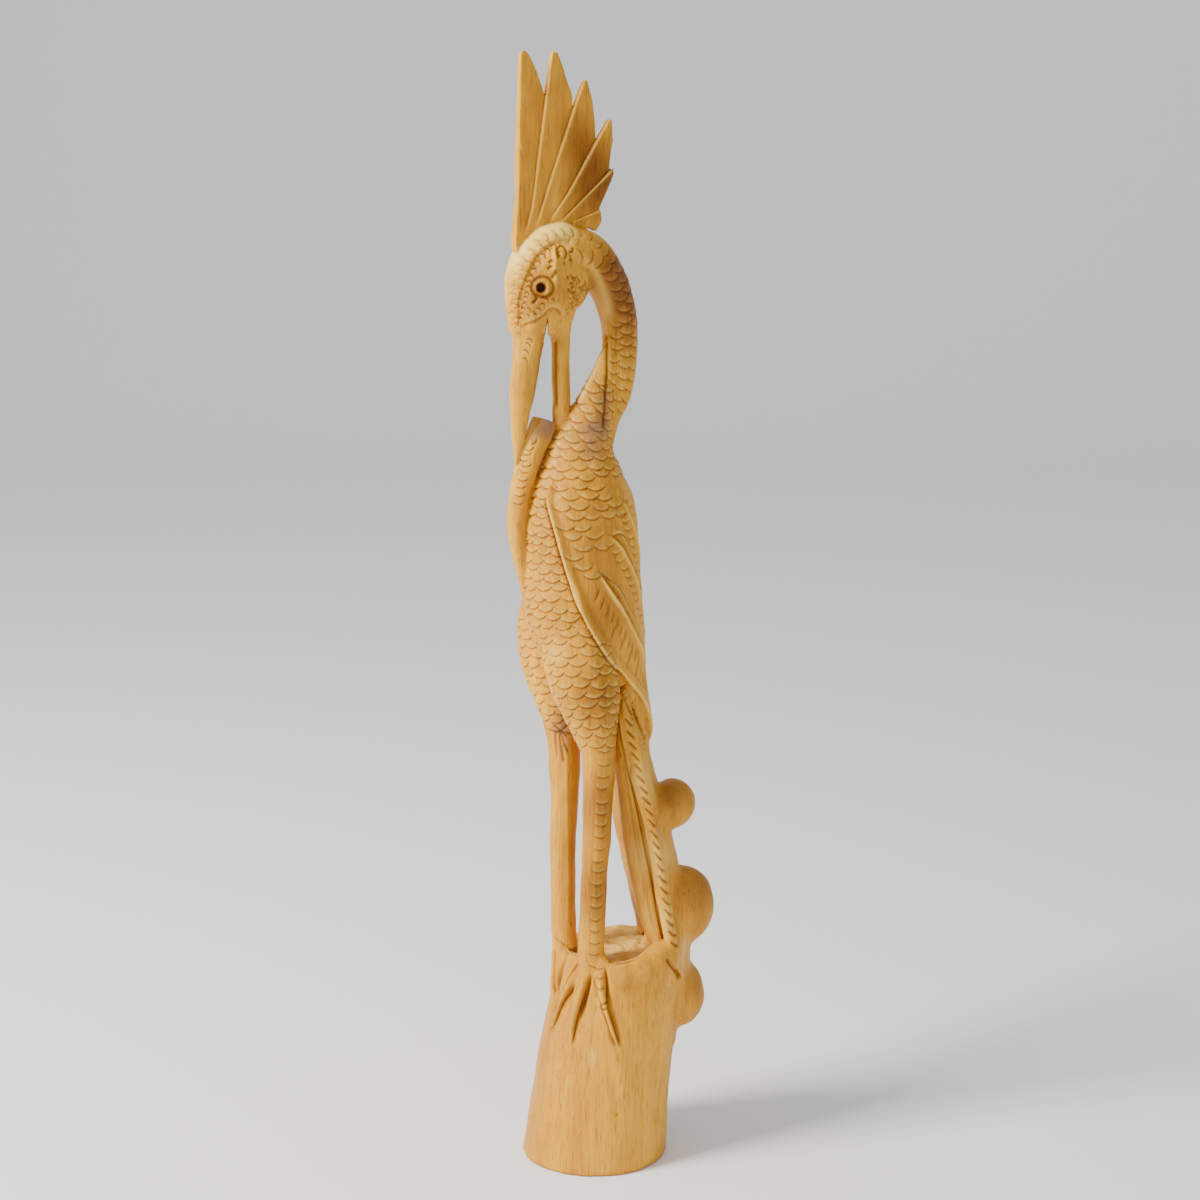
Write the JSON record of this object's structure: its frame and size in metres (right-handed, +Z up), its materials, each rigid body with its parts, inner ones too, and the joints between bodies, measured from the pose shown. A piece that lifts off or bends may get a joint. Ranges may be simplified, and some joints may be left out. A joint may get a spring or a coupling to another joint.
{
  "type": "carved wooden heron sculpture",
  "caption": "Standing plumed heron carved together with its log in solid pale wood, looking back over a folded neck and holding an eel in its open bill.",
  "frame": {"origin": "middle of the log's flat underside", "axes": "+Z up, +X towards the bird's back and the burl, +Y away from the side that is carved most finely"},
  "size_m": [0.0947, 0.0654, 0.508],
  "materials": {
    "wood": "satin"
  },
  "bodies": {
    "root": {"carved_heron": "wood"}
  },
  "joints": []
}
